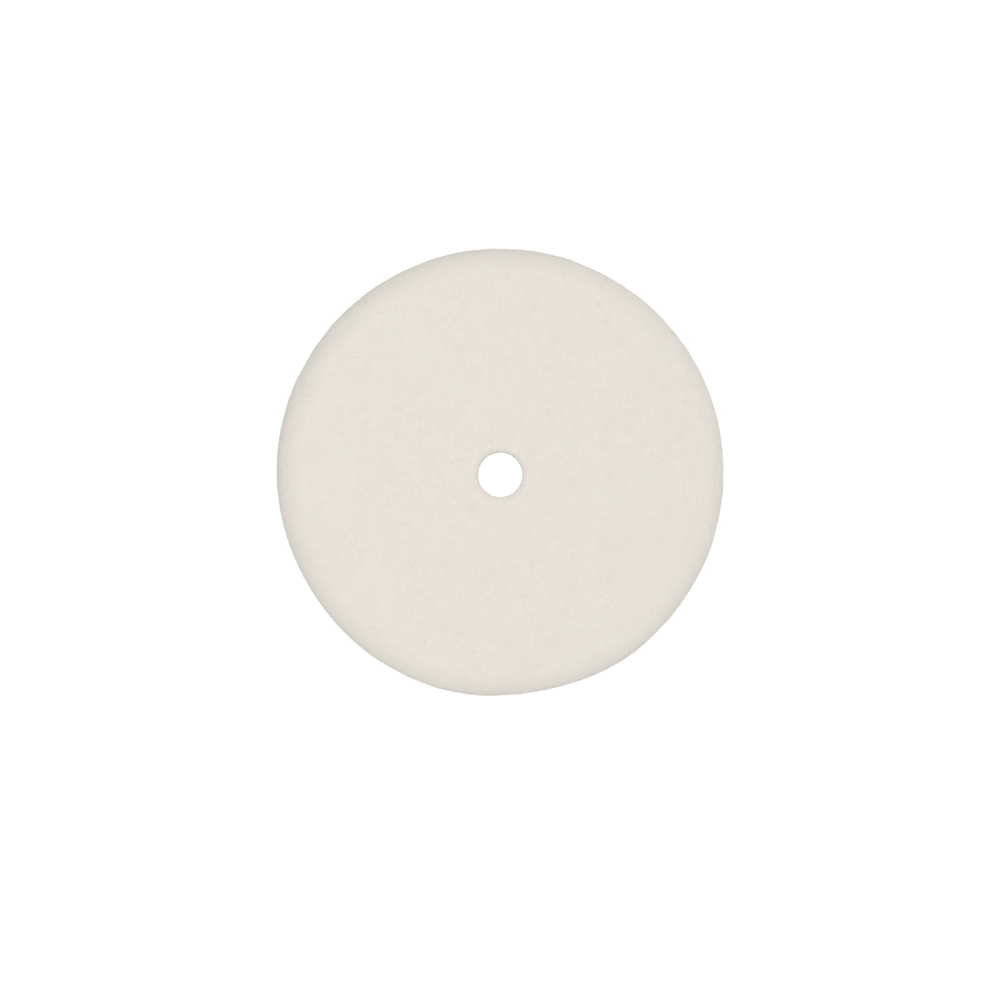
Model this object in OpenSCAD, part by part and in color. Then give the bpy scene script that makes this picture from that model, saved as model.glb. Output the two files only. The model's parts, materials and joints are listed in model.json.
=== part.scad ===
// Felt polishing wheel, built up from plies of pressed wool felt.
//
// The wheel spins about +Y, and its origin is at the middle of the wheel.
// The front face looks along -Y. The plies are counted from the front.
// Neighbouring plies are cemented together, and each film of cement stops a
// little short of the rim and of the bore, so a fine groove shows at each joint.

/* [Wheel] */
// Outside diameter of the wheel
wheel_d = 127; // [100:1:160]
// Width of the wheel along its axis, all plies and films together
wheel_w = 25.4; // [20:0.1:40]
// Radius that rounds each shoulder of the rim
shoulder_r = 7.5; // [1:0.1:9]

/* [Arbor bore] */
// Diameter of the bore, a sliding fit on the spindle
bore_d = 12.7; // [8:0.1:22]
// Radius that rounds each mouth of the bore
mouth_r = 2; // [1:0.1:6]

/* [Cement] */
// Thickness of each film of cement
film_t = 0.1; // [0.05:0.01:0.3]
// How far each film stops short of the rim and of the bore
film_inset = 0.4; // [0.1:0.1:0.9]

/* [Hidden] */
PLIES = ["front_face_ply", "front_inner_ply", "middle_ply", "back_inner_ply", "back_face_ply"];
FILMS = ["front_face_cement", "front_inner_cement", "back_inner_cement", "back_face_cement"];

$fn = 180;
felt_colour = [0.91, 0.89, 0.85];
cement_colour = [0.84, 0.72, 0.48];

wheel_r = wheel_d / 2;
bore_r = bore_d / 2;
half_w = wheel_w / 2;
ply_t = (wheel_w - len(FILMS) * film_t) / len(PLIES);
ply_pitch = ply_t + film_t;

// Turns a half section about +Y. Its x is the radius, and its y the place along the axis.
module turned() {
    rotate([-90, 0, 0])
        rotate_extrude()
            children();
}

// A rectangle from one radius to another, between two places along the axis
module band(from_r, to_r, from_y, to_y) {
    translate([from_r, from_y])
        square([to_r - from_r, to_y - from_y]);
}

// The half section of a rounded edge: a straight side at side_r, as far as side_y each
// way, and the two circles at centre_r that round its corners
module rounded_edge(side_r, centre_r, side_y) {
    band(min(side_r, centre_r), max(side_r, centre_r), -side_y, side_y);
    for (y = [-side_y, side_y])
        translate([centre_r, y])
            circle(r = abs(side_r - centre_r));
}

// The half section of the whole wheel, with flat faces, rounded shoulders and rounded
// mouths, drawn in by the same inset all round
module wheel_section(inset = 0) {
    mouth_centre_r = bore_r + mouth_r;
    shoulder_centre_r = wheel_r - shoulder_r;
    face_y = half_w - inset;
    rounded_edge(bore_r + inset, mouth_centre_r, half_w - mouth_r);
    rounded_edge(wheel_r - inset, shoulder_centre_r, half_w - shoulder_r);
    band(mouth_centre_r, shoulder_centre_r, -face_y, face_y);
}

// A slice of the wheel between two places along the axis
module slice(from_y, to_y, inset = 0) {
    turned()
        intersection() {
            wheel_section(inset);
            band(0, wheel_r, from_y, to_y);
        }
}

// One disc of felt, which takes its share of the rounded section
module felt_ply(index) {
    front_y = -half_w + index * ply_pitch;
    color(felt_colour)
        slice(front_y, front_y + ply_t);
}

// One film of cement, behind the ply with the same index
module cement_film(index) {
    front_y = -half_w + index * ply_pitch + ply_t;
    color(cement_colour)
        slice(front_y, front_y + film_t, film_inset);
}

for (i = [0 : len(PLIES) - 1])
    felt_ply(i);

for (i = [0 : len(FILMS) - 1])
    cement_film(i);
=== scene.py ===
import json
import math
from functools import partial

import bpy
import numpy as np
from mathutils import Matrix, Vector


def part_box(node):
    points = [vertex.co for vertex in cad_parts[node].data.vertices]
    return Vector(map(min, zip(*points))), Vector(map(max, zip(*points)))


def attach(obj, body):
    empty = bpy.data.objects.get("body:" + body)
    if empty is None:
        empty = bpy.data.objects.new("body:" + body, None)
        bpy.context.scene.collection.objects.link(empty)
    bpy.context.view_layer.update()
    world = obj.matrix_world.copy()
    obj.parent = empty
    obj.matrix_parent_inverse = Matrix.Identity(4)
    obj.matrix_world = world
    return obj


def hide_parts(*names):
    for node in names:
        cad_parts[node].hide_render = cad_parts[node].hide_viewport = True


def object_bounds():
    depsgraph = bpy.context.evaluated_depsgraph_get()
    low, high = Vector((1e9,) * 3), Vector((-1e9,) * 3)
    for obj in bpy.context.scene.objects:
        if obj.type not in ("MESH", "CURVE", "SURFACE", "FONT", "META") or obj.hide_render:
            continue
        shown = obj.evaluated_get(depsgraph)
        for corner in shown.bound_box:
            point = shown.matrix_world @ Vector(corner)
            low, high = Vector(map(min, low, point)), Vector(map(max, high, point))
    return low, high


# The looks of a felt polishing wheel: plies of pressed wool felt, the cement between
# them and the nap of loose wool on the outside. Lengths are in metres, the wheel spins
# about Y, and its front face looks along -Y.

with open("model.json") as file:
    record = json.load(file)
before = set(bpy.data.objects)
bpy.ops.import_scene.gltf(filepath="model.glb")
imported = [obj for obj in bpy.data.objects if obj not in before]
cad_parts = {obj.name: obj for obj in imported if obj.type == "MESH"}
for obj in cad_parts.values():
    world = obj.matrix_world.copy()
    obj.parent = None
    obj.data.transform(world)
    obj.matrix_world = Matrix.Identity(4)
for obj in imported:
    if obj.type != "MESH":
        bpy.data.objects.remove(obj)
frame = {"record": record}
cad_low, cad_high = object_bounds()

MM = 0.001

# The wheel's section, of which all but the shoulder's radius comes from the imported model
ARBOR_BORE = next(m for m in frame["record"]["mounts"] if m["name"] == "arbor_bore")
WHEEL_R = cad_high.x
HALF_W = cad_high.y
BORE_R = ARBOR_BORE["dims"]["r_mm"] * MM
MOUTH_R = HALF_W - ARBOR_BORE["dims"]["length_mm"] * MM / 2
SHOULDER_R = 7.5 * MM

PLIES = ("front_face_ply", "front_inner_ply", "middle_ply", "back_inner_ply", "back_face_ply")
FILMS = ("front_face_cement", "front_inner_cement", "back_inner_cement", "back_face_cement")

# How finely the wheel is meshed: the longest step on the two face plies, on the edges of the
# other layers and on the hidden sides, and the fewest segments of a ring
FACE_STEP = 0.5 * MM
RIM_STEP = 0.3 * MM
HIDDEN_STEP = 5.5 * MM
FEWEST_SEGMENTS = 96
# The small round corner of a ply where it meets another
CORNER_R = 0.12 * MM
CORNER_STEPS = 3

# The felt's unevenness: height, wavelength and seed of each layer of it
RELIEF = ((0.05 * MM, 38 * MM, 11), (0.035 * MM, 11 * MM, 12), (0.016 * MM, 3.2 * MM, 13))
# How many waves make up a layer, and how their frequencies vary about its own
WAVES = 24
WAVE_SPREAD = (0.7, 1.4)
# The share of it that is left on the wall of the bore
BORE_RELIEF = 0.15
# How far each ply's edge stands proud of the turned rim, and how steeply that dies away
# towards the bore
PLY_PROUD = (0.0, -0.06 * MM, 0.04 * MM, -0.03 * MM, 0.05 * MM)
PROUD_FADE = 12
# How far the bore is below the middle of the outline
BORE_OFF_CENTRE = 0.69 * MM
# Swells and hollows of the rim: direction from +X towards +Z and width, both in degrees, and
# height
RIM_SWELLS = (
    (-54, 10, 0.34 * MM),
    (-79, 12, -0.42 * MM),
    (-109, 16, 0.30 * MM),
    (-150, 14, -0.12 * MM),
)

# How far under the felt's surface each film of cement ends, how far its round edge bulges,
# and how much and how often that edge wavers along the rim
FILM_INSET = 0.12 * MM
FILM_BULGE = 0.03 * MM
FILM_WAVER = 0.05 * MM
FILM_RUN = 9 * MM

# The nap, loose fibres that stand out of the felt: how many each of its pieces has, and how
# many steps long and sides round each is
NAP_FIBRES = 5000
NAP_STEPS = 6
NAP_SIDES = 3
# Their least and greatest length and radius, their tips' share of that radius, and how deep
# they are rooted
NAP_LENGTH = (1.2 * MM, 5.0 * MM)
NAP_FIBRE_R = (0.009 * MM, 0.016 * MM)
NAP_TIP = 0.5
NAP_ROOT = 0.07 * MM
# How much they bend at each step, steadily and at random, in radians, and how much of an arch
# they make, from half of one with the tip in the air to a whole one
NAP_CURL = 0.35
NAP_KINK = 0.30
NAP_ARCH = (0.5, 1.0)
# Each piece of the nap: its side of the wheel, front, rim or back, and how high it stands
NAP_PARTS = {"front_nap": (-1, 0.13 * MM), "rim_nap": (0, 0.28 * MM), "back_nap": (1, 0.13 * MM)}

# Colours, linear
FELT_COLOUR = (0.84, 0.808, 0.737)
# The bore's lighter colour: partly the clean wool of the cut, partly painted light that lifts the
# bore's shade
CLEAN_AND_LIT_BORE_COLOUR = (0.96, 0.935, 0.88)
STRAW_COLOUR = (0.62, 0.50, 0.33)
CEMENT_COLOUR = (0.74, 0.62, 0.40)
CEMENT_DARK = (0.62, 0.48, 0.26)
# How light the wool of each ply is, and how far apart their patterns are in the same noise
PLY_TONES = (1.0, 0.985, 1.005, 0.99, 1.0)
PATTERN_STEP = 37 * MM
# What the felt's colour is multiplied by where the wool is warmer, in the hollows between
# fibres as painted shade, and on the lightest and darkest fibres of the nap
WARM_TINT = (1.0, 0.985, 0.955)
HOLLOW_SHADE_TINT = (0.97, 0.966, 0.957)
NAP_LIGHT = (1.04, 1.04, 1.04)
NAP_DARK = (0.94, 0.94, 0.94)
# How much of the warmer wool shows in its clouds, and of the bore's clean wool and painted light
WARM_SHARE = 0.25
CLEAN_AND_LIT_BORE_SHARE = 0.75
# How much of the painted shade of the hollows shows, from the lowest to the highest of the
# mottling, and from between the fibres to the top of one
HOLLOW_SHADE_IN_MOTTLE = (1.0, 0.2)
HOLLOW_SHADE_BY_FIBRE = (0.8, 0.0)
# How rough each material is from its smoothest to its roughest
FELT_ROUGHNESS = (0.9, 1.0)
NAP_ROUGHNESS = (0.75, 0.95)
CEMENT_ROUGHNESS = (0.35, 0.55)
# The part of a noise's range that is used, for soft changes and for crisper ones
SOFT = (0.3, 0.7)
CRISP = (0.35, 0.65)
# The felt's clouds of warmer wool, its mottling and its lumps
CLOUD_SIZE = 16 * MM
MOTTLE_SIZE = 1.6 * MM
LUMP_SIZE = 0.7 * MM
LUMP_DEPTH = 0.06 * MM
# The fibres in the felt's surface: their width, how many times longer they are, their depth,
# and how often and how far they curl
FIBRE_WIDTH = 0.16 * MM
FIBRE_STRETCH = 14
FIBRE_DEPTH = 0.04 * MM
FIBRE_CURL = 1.8 * MM
FIBRE_SWAY = 0.9 * MM
# At how many angles they lie, and how far from X the first is, as a share of the next
FIBRE_ANGLES = 4
FIBRE_FIRST = 0.3
# How much of the noise's height a fibre takes, and how high up it begins to hide the painted shade
FIBRE_COVER = 0.16
FIBRE_FOOT = 0.2
# The fine lines that turning left on the rim: how far in from it they begin and how far in
# they are at full depth, their width, how many times longer they are, and their depth
LINES_FROM = SHOULDER_R / 2
LINES_FULL = 0.5 * MM
LINE_WIDTH = 0.25 * MM
LINE_STRETCH = 25
LINE_DEPTH = 0.10 * MM
# Bits of straw: how far apart their places are, how many are taken, their size and strength
FLECK_SPACING = 2.2 * MM
FLECK_SHARE = 0.06
FLECK_SIZE = 0.22 * MM
FLECK_STRENGTH = 0.45
# The shades and the grain of the nap's fibres, and the shades and the lumps of the cement
NAP_CLOUD_SIZE = 2.0 * MM
NAP_GRAIN_SIZE = 0.05 * MM
NAP_GRAIN_DEPTH = 0.003 * MM
CEMENT_CLOUD_SIZE = 2.5 * MM
CEMENT_LUMP_SIZE = 0.6 * MM
CEMENT_LUMP_DEPTH = 0.04 * MM


# ---------------------------------------------------------------- the wheel's section

class Edge:
    """The rim or the bore in section: straight in the middle and rounded towards both faces.

    A place on it is the arc length from the wheel's middle plane, negative to the front."""

    def __init__(self, surface_r, round_r, outward):
        self.round_r = round_r
        self.outward = outward
        self.centre_r = surface_r - outward * round_r
        self.side_y = HALF_W - round_r

    def place(self, y):
        """The place at a distance y along the axis."""
        over = max(abs(y) - self.side_y, 0.0) / self.round_r
        arc = self.round_r * math.asin(min(over, 1.0))
        return math.copysign(min(abs(y), self.side_y) + arc, y)

    def points(self, places, depth=0.0):
        """Radius, y and the outward normal at each place, drawn in by depth."""
        side = np.sign(places)
        turn = np.clip(np.abs(places) - self.side_y, 0.0, None) / self.round_r
        normal_r = self.outward * np.cos(turn)
        normal_y = side * np.sin(turn)
        radius = self.centre_r + (self.round_r - depth) * normal_r
        y = side * np.minimum(np.abs(places), self.side_y) + (self.round_r - depth) * normal_y
        return radius, y, normal_r, normal_y


RIM = Edge(WHEEL_R, SHOULDER_R, 1)
BORE = Edge(BORE_R, MOUTH_R, -1)
SHOULDER_END = RIM.place(HALF_W)


def spaced(start, end, step):
    """Even values from start to end, both kept, no more than a step apart."""
    return np.linspace(start, end, max(2, math.ceil(abs(end - start) / step) + 1))


def edge_stations(edge, from_y, to_y, step):
    """Stations down one edge of a ply, with a small round corner where the ply meets
    another. Each is a row of radius, y, normal and how much relief it shows."""
    start, end = edge.place(from_y), edge.place(to_y)
    quarter = np.linspace(0.0, math.pi / 2, CORNER_STEPS + 1)[1:]
    reach, sink = CORNER_R * (1 - np.sin(quarter)), CORNER_R * (1 - np.cos(quarter))
    places, depth = [], []
    cut_start, cut_end = abs(from_y) < HALF_W, abs(to_y) < HALF_W
    if cut_start:
        places.append(start + reach[::-1])
        depth.append(sink[::-1])
    inner = spaced(start + CORNER_R * cut_start, end - CORNER_R * cut_end, step)
    places.append(inner)
    depth.append(np.zeros_like(inner))
    if cut_end:
        places.append(end - reach)
        depth.append(sink)
    places, depth = np.concatenate(places), np.concatenate(depth)
    radius, y, normal_r, normal_y = edge.points(places, depth)
    shown = 1 - depth / CORNER_R
    return np.column_stack([radius, np.clip(y, from_y, to_y), normal_r, normal_y, shown])


def side_stations(y, from_r, to_r):
    """Stations across one side of a layer, between its edges: a face of the wheel, or a
    hidden side with no relief."""
    is_face = abs(y) >= HALF_W
    radius = spaced(from_r, to_r, FACE_STEP if is_face else HIDDEN_STEP)[1:-1]
    same = np.ones_like(radius)
    return np.column_stack([radius, y * same, 0 * same, math.copysign(1, y) * same, is_face * same])


def closed_section(from_y, to_y, rim, bore):
    """The whole section of a layer: back along the rim, in across the back, forward along
    the bore and out across the front. rim and bore run from front to back."""
    back = side_stations(to_y, rim[-1, 0], bore[-1, 0])
    front = side_stations(from_y, bore[0, 0], rim[0, 0])
    return np.concatenate([rim, back, bore[::-1], front])


def ply_stations(from_y, to_y, step):
    edges = (edge_stations(edge, from_y, to_y, step) for edge in (RIM, BORE))
    return closed_section(from_y, to_y, *edges)


def film_stations(from_y, to_y):
    """The section of a film of cement, which ends a little under the felt's surface in a
    round edge."""
    y = np.linspace(from_y, to_y, 3)
    depth = FILM_INSET - FILM_BULGE * np.array([0, 1, 0])
    edges = []
    for edge in (RIM, BORE):
        places = np.array([edge.place(v) for v in y])
        radius, _, normal_r, _ = edge.points(places, depth)
        edges.append(np.column_stack([radius, y, np.sign(normal_r), 0 * y, np.ones_like(y)]))
    return closed_section(from_y, to_y, *edges)


def outer_stations(places):
    """Stations on the outside of the whole wheel. A place is the arc length from the middle
    of the rim: over the shoulder, and on across the front, negative, or the back."""
    past_shoulder = np.clip(np.abs(places) - SHOULDER_END, 0, None)
    radius, y, normal_r, normal_y = RIM.points(np.clip(places, -SHOULDER_END, SHOULDER_END))
    return np.column_stack([radius - past_shoulder, y, normal_r, normal_y, np.ones_like(radius)])


# ---------------------------------------------------------------- turning it into a mesh

def segments_at(radius, step):
    """How many segments a ring has: the fewest, doubled until none is longer than a step."""
    doublings = math.ceil(math.log2(max(math.tau * radius / (FEWEST_SEGMENTS * step), 1.0)))
    return FEWEST_SEGMENTS * 2 ** doublings


def bridge(start_a, count_a, start_b, count_b):
    """The faces between two neighbouring rings, one of which may have twice the segments."""
    faces = []
    for i in range(min(count_a, count_b)):
        if count_a == count_b:
            a, a2 = start_a + i, start_a + (i + 1) % count_a
            b, b2 = start_b + i, start_b + (i + 1) % count_b
            faces.append((a, b, b2, a2))
        elif count_a < count_b:
            a, a2 = start_a + i, start_a + (i + 1) % count_a
            b, mid, b2 = (start_b + (2 * i + k) % count_b for k in range(3))
            faces += [(a, b, mid), (a, mid, a2), (a2, mid, b2)]
        else:
            a, mid, a2 = (start_a + (2 * i + k) % count_a for k in range(3))
            b, b2 = start_b + i, start_b + (i + 1) % count_b
            faces += [(a, b, mid), (mid, b, b2), (mid, b2, a2)]
    return faces


def ripples(points, wavelength, seed):
    """Smooth random unevenness of about unit height, the same for the same seed."""
    rng = np.random.default_rng(seed)
    direction = rng.normal(size=(WAVES, 3))
    direction /= np.linalg.norm(direction, axis=1, keepdims=True)
    frequency = math.tau / wavelength * rng.uniform(*WAVE_SPREAD, (WAVES, 1))
    phase = rng.uniform(0, math.tau, WAVES)
    return np.cos(points @ (direction * frequency).T + phase).mean(axis=1) * math.sqrt(2 * WAVES)


def relief(points):
    return sum(height * ripples(points, wavelength, seed) for height, wavelength, seed in RELIEF)


def rim_swell(angle):
    """How far the outline stands out from a true circle about the bore."""
    swell = BORE_OFF_CENTRE * np.sin(angle)
    for degrees, width, height in RIM_SWELLS:
        off = (np.degrees(angle) - degrees + 180) % 360 - 180
        swell = swell + height * np.exp(-((off / width) ** 2))
    return swell


def turned_points(radius, y, angle):
    return np.column_stack([radius * np.cos(angle), y, radius * np.sin(angle)])


def felt_surface(stations, angle, proud=0.0, lift=0.0):
    """Where the felt lies at each station and angle, with its relief and the uneven rim.
    proud moves the rim out from the axis, and lift is a height over the surface."""
    radius, y, normal_r, normal_y, shown = stations.T
    loose = np.clip((radius - BORE_R) / MOUTH_R, BORE_RELIEF, 1)
    height = shown * loose * relief(turned_points(radius, y, angle)) + lift
    outwards = np.clip((radius - BORE_R - MOUTH_R) / (WHEEL_R - BORE_R - MOUTH_R), 0, 1)
    radius = radius + normal_r * height + outwards * rim_swell(angle)
    radius = radius + proud * outwards ** PROUD_FADE
    return turned_points(radius, y + normal_y * height, angle)


def film_surface(stations, angle, seed):
    """Where a film of cement lies, with the waver that pressing the plies together gave it."""
    along_rim = turned_points(WHEEL_R, 0 * angle, angle)
    return felt_surface(stations, angle, proud=FILM_WAVER * ripples(along_rim, FILM_RUN, seed))


def turned_piece(name, stations, step, surface):
    """A closed ring turned about Y from stations round its section. surface says where the
    stations and angles lie."""
    counts = [segments_at(radius, step) for radius in stations[:, 0]]
    starts = np.concatenate([[0], np.cumsum(counts)]).tolist()
    angle = np.concatenate([np.arange(n) * math.tau / n for n in counts])
    points = surface(np.repeat(stations, counts, axis=0), angle)
    faces = []
    for i in range(len(counts)):
        after = (i + 1) % len(counts)
        faces += bridge(starts[i], counts[i], starts[after], counts[after])
    return new_piece(name, points, faces)


def new_piece(name, points, faces):
    mesh = bpy.data.meshes.new(name)
    mesh.from_pydata(points.tolist(), [], faces)
    mesh.shade_smooth()
    piece = bpy.data.objects.new(name, mesh)
    bpy.context.scene.collection.objects.link(piece)
    return piece


# ---------------------------------------------------------------- the nap

def nap_roots(side, rng):
    """Places for the roots of the fibres, strewn evenly on one face, or on the rim and its
    shoulders."""
    if side == 0:
        return rng.uniform(-SHOULDER_END, SHOULDER_END, NAP_FIBRES)
    radius = np.sqrt(rng.uniform((BORE_R + MOUTH_R) ** 2, RIM.centre_r ** 2, NAP_FIBRES))
    return side * (SHOULDER_END + RIM.centre_r - radius)


def nap_lines(side, tallest, rng):
    """The middle line of each fibre, which creeps over the felt in a curl and arches off it,
    and the felt's normal along it. Both are indexed by step, fibre and X, Y or Z."""
    place = nap_roots(side, rng)
    angle = rng.uniform(0, math.tau, NAP_FIBRES)
    heading = rng.uniform(0, math.tau, NAP_FIBRES)
    curl = rng.normal(0, NAP_CURL, NAP_FIBRES)
    step = rng.uniform(*NAP_LENGTH, NAP_FIBRES) / NAP_STEPS
    top = rng.uniform(0, tallest, NAP_FIBRES)
    arch = rng.uniform(*NAP_ARCH, NAP_FIBRES)
    lines, normals = [], []
    for i in range(NAP_STEPS + 1):
        stations = outer_stations(place)
        radius, _, normal_r, normal_y, _ = stations.T
        lift = (top + NAP_ROOT) * np.sin(math.pi * arch * i / NAP_STEPS) - NAP_ROOT
        lines.append(felt_surface(stations, angle, lift=lift))
        normals.append(turned_points(normal_r, normal_y, angle))
        place = place + step * np.cos(heading)
        angle = angle + step * np.sin(heading) / radius
        heading = heading + curl + rng.normal(0, NAP_KINK, NAP_FIBRES)
    return np.array(lines), np.array(normals)


def nap_piece(name, side, tallest, seed):
    """Part of the nap: closed tubes along the lines of its fibres, thinner to their tips."""
    rng = np.random.default_rng(seed)
    lines, normals = nap_lines(side, tallest, rng)
    tangents = np.gradient(lines, axis=0)
    tangents /= np.linalg.norm(tangents, axis=2, keepdims=True)
    across = np.cross(tangents, normals)
    across /= np.linalg.norm(across, axis=2, keepdims=True)
    upright = np.cross(across, tangents)
    taper = np.linspace(1.0, NAP_TIP, NAP_STEPS + 1)[:, None, None]
    fibre_r = taper * rng.uniform(*NAP_FIBRE_R, (1, NAP_FIBRES, 1))
    rings = []
    for k in range(NAP_SIDES):
        turn = math.tau * k / NAP_SIDES
        rings.append(lines + fibre_r * (math.cos(turn) * upright + math.sin(turn) * across))
    points = np.stack(rings, axis=2)
    index = np.arange(points[..., 0].size).reshape(points.shape[:3])
    ahead = np.roll(index, -1, axis=2)
    walls = np.stack([index[:-1], ahead[:-1], ahead[1:], index[1:]], axis=-1).reshape(-1, 4)
    faces = walls.tolist() + index[0, :, ::-1].tolist() + index[-1].tolist()
    return new_piece(name, points.reshape(-1, 3), faces)


# ---------------------------------------------------------------- materials

class Nodes:
    """The nodes of a material or the world, with a short call for each kind that is used.

    A colour is red, green and blue. What goes into a node is a value or another's output."""

    def __init__(self, owner, shader="Principled BSDF"):
        self.owner = owner
        owner.use_nodes = True
        self.tree = owner.node_tree
        self.shader = self.tree.nodes[shader]
        self.place = self.tree.nodes.new("ShaderNodeTexCoord").outputs["Object"]

    def add(self, kind, inputs, **settings):
        """A new node. inputs is what goes into each of its sockets, by name or number."""
        node = self.tree.nodes.new(kind)
        for key, value in settings.items():
            setattr(node, key, value)
        for key, value in inputs.items():
            self.feed(node.inputs[key], value)
        return node

    def feed(self, socket, value):
        if isinstance(value, bpy.types.NodeSocket):
            self.tree.links.new(value, socket)
        elif socket.type == "RGBA":
            socket.default_value = (*value, 1)
        else:
            socket.default_value = value

    def maths(self, operation, *values):
        return self.add("ShaderNodeMath", dict(enumerate(values)), operation=operation).outputs[0]

    def moved(self, shift=(0, 0, 0), stretch=(1, 1, 1)):
        """The place in the wheel, first scaled by stretch and then shifted."""
        inputs = {"Vector": self.place, "Location": shift, "Scale": stretch}
        return self.add("ShaderNodeMapping", inputs).outputs["Vector"]

    def noise(self, size, place=None, detail=2.0, roughness=0.5):
        """Cloudy noise from 0 to 1, whose lumps are about size across."""
        inputs = {"Vector": place or self.place, "Scale": 1 / size, "Detail": detail}
        return self.add("ShaderNodeTexNoise", inputs | {"Roughness": roughness}).outputs["Fac"]

    def ranged(self, value, low, high, to_low=0.0, to_high=1.0):
        """value, stretched from the range low to high to that of to_low to to_high."""
        inputs = {"Value": value, "From Min": low, "From Max": high}
        node = self.add("ShaderNodeMapRange", inputs | {"To Min": to_low, "To Max": to_high})
        return node.outputs["Result"]

    def blended(self, share, under, over):
        """One colour, with another on it as far as share says."""
        inputs = {"Factor": share, 6: under, 7: over}
        return self.add("ShaderNodeMix", inputs, data_type="RGBA").outputs[2]

    def bumped(self, height, depth, under=None):
        """A bump of height times depth, on top of the bump under it."""
        bump = self.add("ShaderNodeBump", {"Height": height, "Distance": depth, "Strength": 1.0})
        if under is not None:
            self.feed(bump.inputs["Normal"], under)
        return bump.outputs["Normal"]

    def finished(self, colour, normal, roughness, **fixed):
        """Feeds the shader. What is the same all over is set straight on its own socket."""
        self.feed(self.shader.inputs["Base Color"], colour)
        self.feed(self.shader.inputs["Normal"], normal)
        self.feed(self.shader.inputs["Roughness"], roughness)
        for socket, value in fixed.items():
            self.shader.inputs[socket.replace("_", " ")].default_value = value
        return self.owner


def tinted(colour, tint):
    """A colour multiplied by a tint, part by part."""
    return tuple(part * share for part, share in zip(colour, tint))


def matted_fibres(nodes, place):
    """Fine curly fibres lying every way in the wheel's plane: narrow ridges of stretched
    noise, laid over each other at several angles."""
    curl = nodes.add("ShaderNodeTexNoise", {"Vector": place, "Scale": 1 / FIBRE_CURL, "Detail": 1.0})
    swayed = nodes.add("ShaderNodeVectorMath", {
        0: curl.outputs["Color"],
        1: (FIBRE_SWAY, FIBRE_SWAY, FIBRE_SWAY),
        2: place,
    }, operation="MULTIPLY_ADD").outputs[0]
    fibres = 0.0
    for i in range(FIBRE_ANGLES):
        along = nodes.add("ShaderNodeMapping", {
            "Vector": swayed,
            "Rotation": (0, math.pi * (i + FIBRE_FIRST) / FIBRE_ANGLES, 0),
            "Scale": (FIBRE_STRETCH, 1, 1),
        }, vector_type="TEXTURE").outputs["Vector"]
        off_ridge = nodes.maths("SUBTRACT", nodes.noise(FIBRE_WIDTH, along, detail=1.0), 0.5)
        ridge = nodes.ranged(nodes.maths("ABSOLUTE", off_ridge), 0.0, FIBRE_COVER, 1.0, 0.0)
        fibres = nodes.maths("MAXIMUM", fibres, ridge)
    return fibres


def flecks(nodes, place):
    """Where the few bits of straw lie that washing leaves in the wool."""
    cells = nodes.add("ShaderNodeTexVoronoi", {"Vector": place, "Scale": 1 / FLECK_SPACING})
    red = nodes.add("ShaderNodeSeparateColor", {0: cells.outputs["Color"]}).outputs[0]
    chosen = nodes.maths("GREATER_THAN", red, 1 - FLECK_SHARE)
    reach = FLECK_SIZE / FLECK_SPACING
    near = nodes.ranged(cells.outputs["Distance"], 0.0, reach, FLECK_STRENGTH, 0.0)
    return nodes.maths("MULTIPLY", chosen, near)


def felt_colour(nodes, place, tone, radius, mottle, fibres):
    """Wool that is warmer in clouds, darker in the hollow spaces between fibres as painted
    shade, lighter in the bore as clean wool and painted light, and with flecks of straw."""
    light = tinted(FELT_COLOUR, (tone, tone, tone))
    clouds = nodes.ranged(nodes.noise(CLOUD_SIZE, place), *CRISP, 0.0, WARM_SHARE)
    colour = nodes.blended(clouds, light, tinted(light, WARM_TINT))
    in_mottle = nodes.ranged(mottle, *SOFT, *HOLLOW_SHADE_IN_MOTTLE)
    by_fibre = nodes.ranged(fibres, FIBRE_FOOT, 1.0, *HOLLOW_SHADE_BY_FIBRE)
    # Painted shade: the colour darkens in the hollows between fibres and where the mottling is low
    hollow_shade = nodes.maths("MULTIPLY", in_mottle, by_fibre)
    colour = nodes.blended(hollow_shade, colour, tinted(light, HOLLOW_SHADE_TINT))
    # Painted light, partly clean wool: the colour is lighter on the bore's wall and the inner part
    # of its mouth
    bore_clean_and_lit = nodes.ranged(radius, BORE_R, BORE_R + MOUTH_R / 2, CLEAN_AND_LIT_BORE_SHARE, 0.0)
    colour = nodes.blended(bore_clean_and_lit, colour, CLEAN_AND_LIT_BORE_COLOUR)
    return nodes.blended(flecks(nodes, place), colour, STRAW_COLOUR)


def felt_bumps(nodes, place, radius, fibres):
    """Lumps, the fibres on them, and the fine lines that turning left on the rim."""
    normal = nodes.bumped(nodes.noise(LUMP_SIZE, place), LUMP_DEPTH)
    normal = nodes.bumped(fibres, FIBRE_DEPTH, normal)
    on_rim = nodes.ranged(radius, WHEEL_R - LINES_FROM, WHEEL_R - LINES_FULL)
    squeezed = nodes.moved(stretch=(1 / LINE_STRETCH, 1, 1 / LINE_STRETCH))
    lines = nodes.noise(LINE_WIDTH, squeezed)
    return nodes.bumped(nodes.maths("MULTIPLY", lines, on_rim), LINE_DEPTH, normal)


def felt_material(name, tone, shift):
    """Pressed wool felt. tone is how light this ply's wool is, and shift gives it a pattern
    of its own."""
    nodes = Nodes(bpy.data.materials.new(name))
    place = nodes.moved(shift=shift)
    across = nodes.moved(stretch=(1, 0, 1))
    radius = nodes.add("ShaderNodeVectorMath", {0: across}, operation="LENGTH").outputs["Value"]
    mottle = nodes.noise(MOTTLE_SIZE, place, detail=3.0, roughness=0.6)
    fibres = matted_fibres(nodes, place)
    colour = felt_colour(nodes, place, tone, radius, mottle, fibres)
    normal = felt_bumps(nodes, place, radius, fibres)
    return nodes.finished(colour, normal, nodes.ranged(mottle, *SOFT, *FELT_ROUGHNESS),
                          Specular_IOR_Level=0.15, Sheen_Weight=0.12, Sheen_Roughness=0.6)


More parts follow.
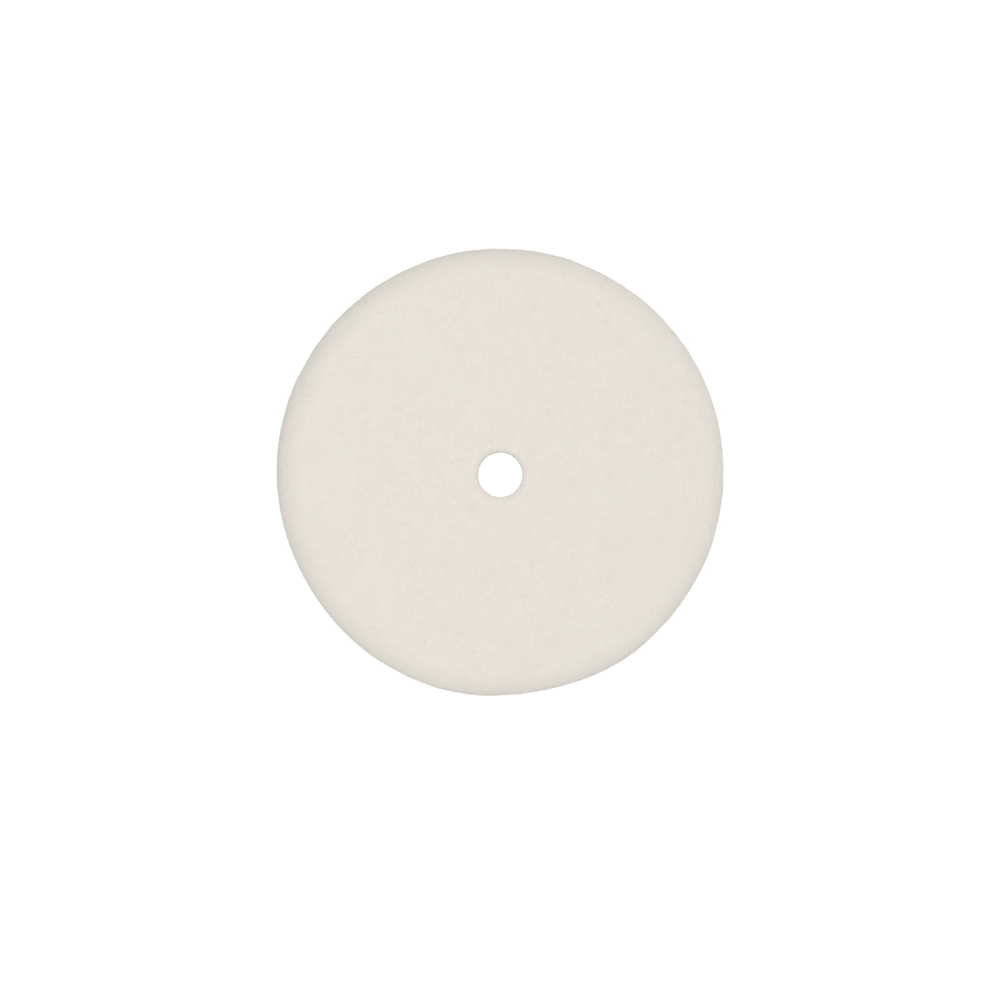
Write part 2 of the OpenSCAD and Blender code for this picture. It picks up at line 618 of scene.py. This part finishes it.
def nap_material():
    """Single wool fibres: the felt's colour, a little lighter and darker from place to place."""
    nodes = Nodes(bpy.data.materials.new("wool_nap"))
    cloud = nodes.noise(NAP_CLOUD_SIZE)
    light, dark = tinted(FELT_COLOUR, NAP_LIGHT), tinted(FELT_COLOUR, NAP_DARK)
    colour = nodes.blended(nodes.ranged(cloud, *CRISP), light, dark)
    normal = nodes.bumped(nodes.noise(NAP_GRAIN_SIZE), NAP_GRAIN_DEPTH)
    return nodes.finished(colour, normal, nodes.ranged(cloud, *SOFT, *NAP_ROUGHNESS),
                          Specular_IOR_Level=0.25)


def cement_material():
    """Dried contact cement: amber, a little uneven and satin."""
    nodes = Nodes(bpy.data.materials.new("felt_cement"))
    cloud = nodes.noise(CEMENT_CLOUD_SIZE, detail=3.0)
    colour = nodes.blended(cloud, CEMENT_COLOUR, CEMENT_DARK)
    normal = nodes.bumped(nodes.noise(CEMENT_LUMP_SIZE), CEMENT_LUMP_DEPTH)
    return nodes.finished(colour, normal, nodes.ranged(cloud, *SOFT, *CEMENT_ROUGHNESS))


# ---------------------------------------------------------------- the pieces

def finish_piece(piece, material):
    """Every piece turns with the wheel's one body."""
    piece.data.materials.append(material)
    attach(piece, "root")


def make_plies():
    for i, (name, proud, tone) in enumerate(zip(PLIES, PLY_PROUD, PLY_TONES)):
        low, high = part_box(name)
        is_face = max(abs(low.y), abs(high.y)) >= HALF_W
        step = FACE_STEP if is_face else RIM_STEP
        surface = partial(felt_surface, proud=proud)
        piece = turned_piece(name + "_felt", ply_stations(low.y, high.y, step), step, surface)
        shift = tuple(PATTERN_STEP * (i + k) for k in range(3))
        finish_piece(piece, felt_material(name + "_felt", tone, shift))
        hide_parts(name)


def make_films():
    cement = cement_material()
    for seed, name in enumerate(FILMS):
        low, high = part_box(name)
        surface = partial(film_surface, seed=seed)
        piece = turned_piece(name + "_film", film_stations(low.y, high.y), RIM_STEP, surface)
        finish_piece(piece, cement)
        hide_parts(name)


def make_nap():
    wool = nap_material()
    for seed, (name, (side, tallest)) in enumerate(NAP_PARTS.items()):
        finish_piece(nap_piece(name, side, tallest, seed), wool)


# ---------------------------------------------------------------- the studio

# The camera looks straight along the axis: how far it is from the front face, how wide a
# view it has there, and how far it is below the axis and to the right of it
CAMERA_DISTANCE = 2.0
VIEW_WIDTH = 0.2831
CAMERA_DROP = 7.2 * MM
CAMERA_RIGHT = -0.07 * MM
SENSOR_WIDTH = 36
# The floor: its colour, its sides, which are also as far as the camera sees, and how far it
# is below the axis
FLOOR_COLOUR = (0.9, 0.9, 0.9)
FLOOR_SIZE = 40
FLOOR_DROP = 0.35
# What the camera sees behind the wheel, a little over full white
WHITE = (1, 1, 1)
WHITE_STRENGTH = 1.05
# The soft light from all round: its strength, and how much stronger it is from the +X, +Y
# and +Z sides
AMBIENT = 0.874
AMBIENT_LEAN = (0.207, 0.108, -0.197)
# Square soft lamps that face the wheel: name, place, width and power
SOFTBOXES = (
    ("key", (-0.12, -0.8, 0.14), 0.6, 1.93),
    ("fill", (0.3, 0.8, 0.2), 0.6, 1.2),
)


def make_camera():
    data = bpy.data.cameras.new("camera")
    data.sensor_width = SENSOR_WIDTH
    data.lens = SENSOR_WIDTH * CAMERA_DISTANCE / VIEW_WIDTH
    data.clip_end = FLOOR_SIZE
    camera = bpy.data.objects.new("camera", data)
    camera.location = (CAMERA_RIGHT, -HALF_W - CAMERA_DISTANCE, -CAMERA_DROP)
    camera.rotation_euler = (math.pi / 2, 0, 0)
    bpy.context.scene.collection.objects.link(camera)
    bpy.context.scene.camera = camera


def show_white(nodes, white, output):
    """Lets the camera see plain white in place of the shader, which still does the lighting."""
    seen = nodes.add("ShaderNodeLightPath", {}).outputs["Is Camera Ray"]
    inputs = {0: seen, 1: nodes.shader.outputs[0], 2: white.outputs[0]}
    either = nodes.add("ShaderNodeMixShader", inputs).outputs[0]
    nodes.feed(nodes.tree.nodes[output].inputs["Surface"], either)


def make_world():
    """Soft light from all round, stronger from one side, which the camera sees as white."""
    world = bpy.data.worlds.new("studio")
    bpy.context.scene.world = world
    nodes = Nodes(world, shader="Background")
    direction = nodes.add("ShaderNodeTexCoord", {}).outputs["Generated"]
    inputs = {0: direction, 1: AMBIENT_LEAN}
    lean = nodes.add("ShaderNodeVectorMath", inputs, operation="DOT_PRODUCT").outputs["Value"]
    nodes.feed(nodes.shader.inputs["Color"], WHITE)
    nodes.feed(nodes.shader.inputs["Strength"], nodes.maths("ADD", lean, AMBIENT))
    white = nodes.add("ShaderNodeBackground", {"Color": WHITE, "Strength": WHITE_STRENGTH})
    show_white(nodes, white, "World Output")


def make_softbox(name, place, width, power):
    data = bpy.data.lights.new(name, "AREA")
    data.shape = "SQUARE"
    data.size = width
    data.energy = power
    lamp = bpy.data.objects.new(name, data)
    lamp.location = place
    lamp.rotation_euler = (-Vector(place)).to_track_quat("-Z", "Y").to_euler()
    lamp.visible_camera = False
    bpy.context.scene.collection.objects.link(lamp)


def make_floor():
    half = FLOOR_SIZE / 2
    corners = np.array([(-half, -half, 0), (half, -half, 0), (half, half, 0), (-half, half, 0)])
    floor = new_piece("floor", corners - (0, 0, FLOOR_DROP), [(0, 1, 2, 3)])
    nodes = Nodes(bpy.data.materials.new("floor"))
    nodes.feed(nodes.shader.inputs["Base Color"], FLOOR_COLOUR)
    nodes.feed(nodes.shader.inputs["Roughness"], 1.0)
    white = nodes.add("ShaderNodeEmission", {"Color": WHITE, "Strength": WHITE_STRENGTH})
    show_white(nodes, white, "Material Output")
    floor.data.materials.append(nodes.owner)


bpy.context.scene.view_settings.view_transform = "Standard"
make_camera()
make_world()
for softbox in SOFTBOXES:
    make_softbox(*softbox)
make_floor()
make_plies()
make_films()
make_nap()
